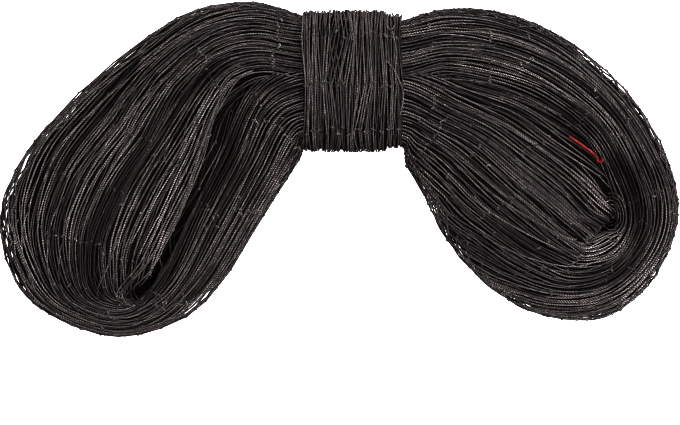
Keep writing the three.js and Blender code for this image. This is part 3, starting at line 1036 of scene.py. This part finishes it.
level = (0, 0, 1)
for loop in (leftLoop, rightLoop):
    name, seed = loop["name"], loop["seed"]
    # The core and the eye fold take the near-black packed net: painted shade in the depths of the bundle and
    # in the eye
    core = finishPiece(coreOfLoop(loop), packedNetShade)
    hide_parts("net_hank")
    finishPiece(eyeFold(loop), packedNetShade)
    paths, ties, tonesAndPaintedLight = layStrands(loop, outerLayer)
    netTwine(name + "Strands", paths, 5, level, tonesAndPaintedLight, blackTwine)
    finishPiece(knotPiece(name + "Knots", *ties, seed, 0.9, loop["dim"]), blackTwine)
    paths, _, tonesAndPaintedLight = layStrands(loop, innerLayer)
    netTwine(name + "InnerStrands", paths, 4, level, tonesAndPaintedLight, shadedTwine)
    paths, ties, tonesAndPaintedLight = rimNet(loop)
    netTwine(name + "RimNet", paths, 5, level, tonesAndPaintedLight, blackTwine)
    finishPiece(knotPiece(name + "RimKnots", *ties, seed + 1, 0.7, []), blackTwine)
    paths, tonesAndPaintedLight = eyeStrands(loop)
    netTwine(name + "EyeStrands", paths, 5, level, tonesAndPaintedLight, blackTwine)
    paths, tonesAndPaintedLight = looseStrands(loop)
    netTwine(name + "LooseStrands", paths, 5, level, tonesAndPaintedLight, blackTwine)
print("loops made")

# Turns round the waist
wrap = {
    "turns": 35,
    "steps": 120,
    "proud": 1.2 * mm,  # how far the turns stand out past the sleeve of the solid
    "inner": 0.9 * mm,  # how far the inner turns lie under the outer ones
    "rows": 8,  # of knots, once round
    "rowPhase": -0.077,  # places them on the upper side
    "knotsFrom": 0.01,  # share of a turn without knots at its ends
    "phaseSpread": 0.05,
    "pleat": 6,
    "pull": 0.45,
    "knotShift": 0.3,  # in turns
    "pleatShift": 0.4,
    # amount in turns, waves once round, and how much their phase moves from one turn to the next
    "sway": [(0.5, (1, 2, 3), 0.12), (0.15, (3, 5, 8), 1)],
    "lift": 0.35 * mm,
    "liftRates": (2, 5, 7),
    "liftDrift": 0.6,
    "overEdge": 0.012,  # share of the width by which a turn may be past the wrap's edge
    # how far turns stand aside at five rows of knots, in turns, at these shares of the width
    "leanAt": [0.2, 0.27, 0.36, 0.5, 0.66, 0.82, 0.95],
    "lean": [
        (0, 1.2, 2, 1.2, 0.5, 0, 0),
        (0, 2.2, 3.4, 1.8, 0.2, -1.2, 0),
        (0, -0.8, -1.2, 0, 0.6, 0.6, 0.3),
        (0, 0.3, 0.4, -1.5, -1.2, 0, 0),
        (0, 0, 0, 0, 0, 0, 0),
    ],
    "leanRows": [-2, -1, 0, 1, 2],
    # share of the width from left to right, thickness of the wound net in millimetres
    "profile": [
        (0, 3.2), (0.03, 4.6), (0.12, 4.9), (0.17, 4.2), (0.24, 5), (0.33, 5.1), (0.38, 4.4), (0.45, 5.2),
        (0.55, 5.2), (0.61, 4.5), (0.68, 5.1), (0.78, 5), (0.83, 4.4), (0.86, 2.6), (0.96, 2.5), (1, 1.8),
    ],
    "tone": (0.19, 0.3),
    # painted sheen that changes from knot to knot
    "barSheen": 0.12,
    "toneRange": (0.1, 1),
    # painted light and shade, as amounts: painted shade towards the right, painted light along the far edge
    # and along the near one
    "rightDim": (0.3, 0.82, 0.9),
    "farLight": (0.55, 90 * mm, 99 * mm),
    "nearLight": (0.25, -24 * mm, -15 * mm),
    # painted highlights and painted shade as on the loops, and painted shade on the knots
    "shine": [(5, 0.3, -16, 101, -2, 101)],
    "dim": [(12, 0.3, 14, 79, 30, 83)],
    "knotDim": [(80, 0.45, -25, 58, 41, 58)],
    # strays over the right edge: their corners seen from above, in millimetres
    "strays": [
        [(30.5, 101), (30.2, 96), (31.5, 92), (34, 91), (35.9, 94), (35.6, 98.5), (34.6, 102)],
        [(31, 70), (35, 65), (38.6, 58), (41.4, 49.5), (41.2, 42), (39.4, 34.5)],
        [(34.5, 90), (35.6, 84), (36.8, 78), (37, 72), (36.4, 64), (36.6, 56)],
    ],
    "strayReach": 2.5 * mm,
    "strayTone": 0.55,
}


# Points on the waist's rounded box, by their share of the width from left to right, their place round the
# section measured along its edge, and their offset out of it
def onNeck(across, place, offset):
    power = 2 / waist["squareness"]
    dense = np.linspace(0, 2 * np.pi, 721) + np.pi / 2
    y = np.sign(np.cos(dense)) * np.abs(np.cos(dense)) ** power
    z = np.sign(np.sin(dense)) * np.abs(np.sin(dense)) ** power
    walk = np.hypot(np.diff(y * (waist["halfY"] + 3 * mm)), np.diff(z * (waist["halfZ"] + 3 * mm)))
    share = np.concatenate([[0], np.cumsum(walk)]) / walk.sum()
    x = waist["left"] + across * (waist["right"] - waist["left"])
    roundY = waist["centreY"] + (waist["halfY"] + offset) * np.interp(place % 1, share, y)
    roundZ = waist["centreZ"] + (waist["halfZ"] + offset) * np.interp(place % 1, share, z)
    return np.stack(np.broadcast_arrays(x, roundY, roundZ), axis=-1)


# How far the wound net stands out of the waist's section
def woundOut(across):
    share, thickness = np.transpose(wrap["profile"])
    return wrap["proud"] + np.interp(across, share, thickness) * mm


# Turns side by side: they go once round, from the underside to the underside, tied in rows of knots,
# each with its own sway, and some slant across the upper side
def windTurns(count, depth, seed):
    rng = np.random.default_rng(seed)
    place = np.linspace(-0.5, 0.5, wrap["steps"])
    index = np.arange(count)[:, None]
    rows = wrap["rows"]
    phase = wrap["rowPhase"] + wrap["phaseSpread"] * rng.normal(size=(count, 1))
    phase = phase + (0 if depth == 0 else rng.random())
    rowPlace = place[None, :] * rows + phase
    pleats = index[:, 0] // wrap["pleat"]
    zigzag = betweenKnots(rng, rowPlace, pleats, wrap["pull"], wrap["knotShift"], wrap["pleatShift"])
    sway = sum(amount * waves(rng, count, place, rates, drift) for amount, rates, drift in wrap["sway"])
    leans = np.transpose([np.interp(index[:, 0] / count, wrap["leanAt"], row) for row in wrap["lean"]])
    slant = np.array([np.interp(at, wrap["leanRows"], lean) for at, lean in zip(rowPlace, leans)])
    across = (index + 0.5 + zigzag + sway + slant) / count
    across = np.clip(across, -wrap["overEdge"], 1 + wrap["overEdge"])
    lift = wrap["lift"] * waves(rng, count, place, wrap["liftRates"], wrap["liftDrift"])
    offset = np.maximum(woundOut(across) - twineRadius - depth + lift, twineRadius)
    paths = liftedTo(onNeck(across, place, offset), twineRadius)
    ties = np.arange(-rows // 2, rows // 2 + 1)[None, :]
    tiePlace = (ties - phase) / rows + 0.5
    _, _, centres, directions = tiedKnots(paths, ties, tiePlace, wrap["knotsFrom"])
    up = fromMiddle(centres)
    above = np.abs(unit(up)[:, 2]) > 0.5  # none on the sides, where they would stand up from the outline
    # tone with painted light: each bar is painted lighter or darker as sheen, then the painted shade and
    # light above
    tonesAndPaintedLight = chance(rng, wrap["tone"], (count, 1)) + wrap["barSheen"] * eachBar(rng, rowPlace)
    tonesAndPaintedLight = np.clip(tonesAndPaintedLight, *wrap["toneRange"]) * (1 - graded(wrap["rightDim"], index / count))
    tonesAndPaintedLight = tonesAndPaintedLight + graded(wrap["farLight"], paths[..., 1]) + graded(wrap["nearLight"], -paths[..., 1])
    tonesAndPaintedLight = tonesAndPaintedLight * (1 - nearLines(wrap["dim"], paths)) + nearLines(wrap["shine"], paths)
    return paths, (centres[above], directions[above], up[above]), tonesAndPaintedLight


# Away from the middle line of the waist
def fromMiddle(points):
    return (points - (0, waist["centreY"], waist["centreZ"])) * (0, 1, 1)


# A stray lies on the highest turn near each of its corners
def overTurns(corners, paths):
    corners = np.array(corners) * mm
    away = np.linalg.norm(corners[:, None, :] - paths.reshape(-1, 3)[None, :, :2], axis=-1)
    heights = np.where(away < wrap["strayReach"], paths[..., 2].ravel(), 0).max(axis=1)
    heights = heights + 2 * twineRadius
    return throughRows(np.column_stack([corners, heights]), np.linspace(0, 1, 48))


paths, ties, tonesAndPaintedLight = windTurns(wrap["turns"], 0, 5)
turns = netTwine("waistTurns", paths, 6, fromMiddle(paths), tonesAndPaintedLight, blackTwine)
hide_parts("waist_wrap")
finishPiece(knotPiece("waistKnots", *ties, 3, 0.95, wrap["knotDim"]), blackTwine)
strays = np.array([overTurns(corners, paths) for corners in wrap["strays"]])
netTwine("waistStrays", strays, 6, level, np.full(len(strays), wrap["strayTone"]), blackTwine)
paths, _, tonesAndPaintedLight = windTurns(wrap["turns"] + 1, wrap["inner"], 6)
netTwine("waistInnerTurns", paths, 5, fromMiddle(paths), tonesAndPaintedLight, shadedTwine)

# Sleeve of packed net under the turns, near black as painted shade, closed by its sides that go into the
# waist
sleeve = {
    "steps": 96,
    "sides": 24,
    "under": 1.7 * mm,  # the turns
    "least": 0.2 * mm,
    "into": -3 * mm,
    "ends": (0.01, 0.99),  # shares of the width
}


def waistCore():
    across = np.linspace(*sleeve["ends"], sleeve["sides"])
    offset = np.maximum(woundOut(across) - sleeve["under"], sleeve["least"])
    offset = np.concatenate([[sleeve["into"]], offset, [sleeve["into"]]])
    place = np.arange(sleeve["steps"] + 1) / sleeve["steps"]
    grid = onNeck(np.pad(across, 1, mode="edge"), place[:-1, None], offset)
    return gridPiece("waistCore", liftedTo(grid, net["coreClear"]), place, lengthFirst)


finishPiece(waistCore(), packedNetShade)
print("waist wound")

# Red marking thread on the right loop: its places seen from above, in millimetres. It goes under a strand
# before its end, which is bent into a hook.
marker = {
    "places": [
        (152, 21), (157, 17.7), (162.3, 14), (166.3, 11.3), (169, 8.7),
        (170.7, 6.7), (171.3, 4.8), (172.7, 4.2), (173.8, 5), (173.6, 6.4),
    ],
    "lifts": [0, 1.2, 1.3, 1.2, 0.6, -0.6, 0.4, 1, 0.8, -0.6],  # height over the bundle in millimetres
    "radius": 0.8 * mm,
    "steps": 72,
    "sides": 8,
    "tone": 0.4,
}

places = np.array(marker["places"]) * mm
heights = topOf(rightLoop, places) + np.array(marker["lifts"]) * mm
path = throughRows(np.column_stack([places, heights]), np.linspace(0, 1, marker["steps"]))
thread = twinePiece("markerTwine", path[None], marker["radius"], marker["sides"], level, marker["tone"])
finishPiece(thread, redTwine)
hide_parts("marker_thread")

# Floor, light and camera
half, height = 3, -0.2 * mm
corners = [(-half, -half, height), (half, -half, height), (half, half, height), (-half, half, height)]
floorMesh = bpy.data.meshes.new("floor")
floorMesh.from_pydata(corners, [], [(0, 1, 2, 3)])
floor = bpy.data.objects.new("floor", floorMesh)
bpy.context.scene.collection.objects.link(floor)
floorWhite, tree, shader = newMaterial("floorWhite")
setInputs(tree, shader, {"Base Color": (0.9, 0.9, 0.9, 1), "Roughness": 0.9})
setInputs(tree, shader, {"Emission Color": (1, 1, 1, 1), "Emission Strength": 1})
floorMesh.materials.append(floorWhite)
floor.visible_diffuse = False  # the hank gets no light from below
floor.visible_glossy = False

scene = bpy.context.scene
scene.world = bpy.data.worlds.new("studio")
scene.world.use_nodes = True
tree = scene.world.node_tree
setInputs(tree, tree.nodes["Background"], {"Color": (1, 1, 1, 1), "Strength": 0.015})
scene.view_settings.view_transform = "Standard"
# noise removal reads the twine's colour and lay as they are, so the plies stay sharp
scene.cycles.denoising_prefilter = "NONE"
scene.cycles.filter_width = 1

# Soft lights: place, size and power of each, all turned to the middle of the floor
lightColour = (1, 0.91, 0.91)
lights = {
    "rightLight": ((0.7, 0, 1.45), 0.35, 18),
    "leftLight": ((-0.7, 0, 1.45), 0.35, 18),
    "backLight": ((0.1, 1.2, 1.1), 0.35, 18),
    "frontLight": ((0, -1.3, 0.9), 0.35, 6),
    "cornerLight": ((0.95, 0.95, 0.9), 0.35, 16),
    "keyLight": ((1.2, -0.9, 0.6), 0.3, 16),
}
for name, (place, size, power) in lights.items():
    lamp = bpy.data.lights.new(name, "AREA")
    lamp.shape = "DISK"
    lamp.size = size
    lamp.energy = power
    lamp.color = lightColour
    holder = bpy.data.objects.new(name, lamp)
    holder.location = place
    x, y, z = place
    holder.rotation_euler = (math.acos(z / math.hypot(x, y, z)), 0, math.atan2(-x, y) + math.pi)
    scene.collection.objects.link(holder)

view = {
    "distance": 2.0,
    "centreY": -29.3 * mm,
    "midHeight": 25 * mm,
    "frameWidth": 453.3 * mm,
    "sensor": 36,
}
camera = bpy.data.objects.new("camera", bpy.data.cameras.new("camera"))
camera.data.sensor_width = view["sensor"]
camera.data.lens = view["sensor"] * view["distance"] / view["frameWidth"]
camera.data.clip_end = 20
camera.location = (0, view["centreY"], view["midHeight"] + view["distance"])
scene.collection.objects.link(camera)
scene.camera = camera
print("stage set")
